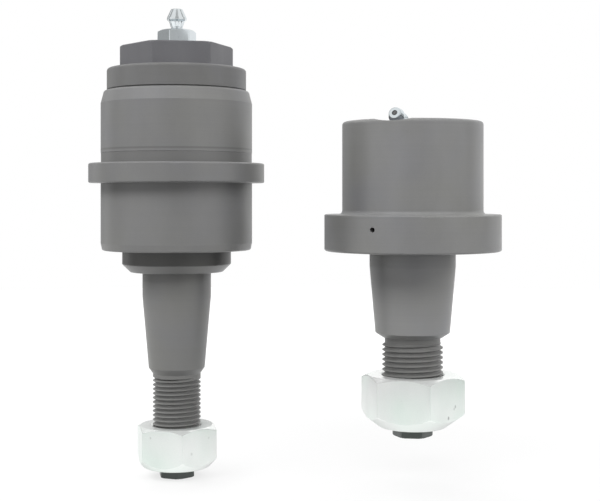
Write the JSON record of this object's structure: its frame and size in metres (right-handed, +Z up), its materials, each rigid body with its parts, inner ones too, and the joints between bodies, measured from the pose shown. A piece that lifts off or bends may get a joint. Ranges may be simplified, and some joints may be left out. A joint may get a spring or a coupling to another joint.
{
  "type": "suspension ball joint",
  "caption": "Matched set of greaseable suspension ball joints, one tall and one short, with press-in housings, tapered ball studs and domed lock nuts.",
  "frame": {"origin": "on the tall joint's axis, in the plane of the upper face of its flange", "axes": "+Z up along the tall joint's axis from stud to cap, +X towards the short joint, -Y towards the viewer"},
  "size_m": [0.1509, 0.0646, 0.1712],
  "materials": {
    "phosphate_steel": "matt grey phosphate over turned steel",
    "cap_steel": "dark phosphate over turned steel",
    "stud_steel": "ground taper, grey phosphate",
    "hardened_steel": "ground and hardened",
    "spring_steel": "oiled spring steel",
    "zinc_plate": "bright zinc plate",
    "nitrile_rubber": "matt black"
  },
  "bodies": {
    "root": {"tall_housing": "phosphate_steel", "tall_lower_seat": "hardened_steel", "tall_preload_washer": "spring_steel", "tall_hex_cap": "cap_steel", "tall_cap_seal": "nitrile_rubber", "tall_lock_ring": "phosphate_steel", "tall_grease_fitting": "zinc_plate", "tall_check_spring": "spring_steel", "short_housing": "phosphate_steel", "short_lower_seat": "hardened_steel", "short_preload_washer": "spring_steel", "short_cover_plate": "cap_steel", "short_cover_seal": "nitrile_rubber", "short_snap_ring": "spring_steel", "short_grease_fitting": "zinc_plate", "short_check_spring": "spring_steel"},
    "tall_seat": {"tall_upper_seat": "hardened_steel"},
    "tall_stud": {"tall_ball_stud": "stud_steel"},
    "tall_nut": {"tall_lock_nut": "zinc_plate"},
    "tall_valve_ball": {"tall_check_ball": "hardened_steel"},
    "short_seat": {"short_upper_seat": "hardened_steel"},
    "short_stud": {"short_ball_stud": "stud_steel"},
    "short_nut": {"short_lock_nut": "zinc_plate"},
    "short_valve_ball": {"short_check_ball": "hardened_steel"}
  },
  "joints": [
    {"name": "tall_turn", "type": "hinge", "parent": "root", "child": "tall_seat", "pos_m": [0, 0, -0.019], "axis": [0, 0, 1], "continuous": true},
    {"name": "tall_tilt", "type": "hinge", "parent": "tall_seat", "child": "tall_stud", "pos_m": [0, 0, -0.019], "axis": [1, 0, 0], "range_deg": [-6.5, 6.5]},
    {"name": "tall_nut_turn", "type": "hinge", "parent": "tall_stud", "child": "tall_nut", "pos_m": [0, 0, -0.1035], "axis": [0, 0, 1], "continuous": true},
    {"name": "short_turn", "type": "hinge", "parent": "root", "child": "short_seat", "pos_m": [0.0865, 0, -0.0095], "axis": [0, 0, 1], "continuous": true},
    {"name": "short_tilt", "type": "hinge", "parent": "short_seat", "child": "short_stud", "pos_m": [0.0865, 0, -0.0095], "axis": [1, 0, 0], "range_deg": [-6.5, 6.5]},
    {"name": "short_nut_turn", "type": "hinge", "parent": "short_stud", "child": "short_nut", "pos_m": [0.0865, 0, -0.088], "axis": [0, 0, 1], "continuous": true},
    {"name": "tall_valve_open", "type": "slide", "parent": "root", "child": "tall_valve_ball", "axis": [0, 0, -1], "range_m": [0, 0.001], "stiffness_N_per_m": 800, "springref_m": -0.001, "deforming": ["tall_check_spring"]},
    {"name": "short_valve_open", "type": "slide", "parent": "root", "child": "short_valve_ball", "axis": [0.3461, 0.8566, -0.3827], "range_m": [0, 0.001], "stiffness_N_per_m": 800, "springref_m": -0.001, "deforming": ["short_check_spring"]}
  ]
}
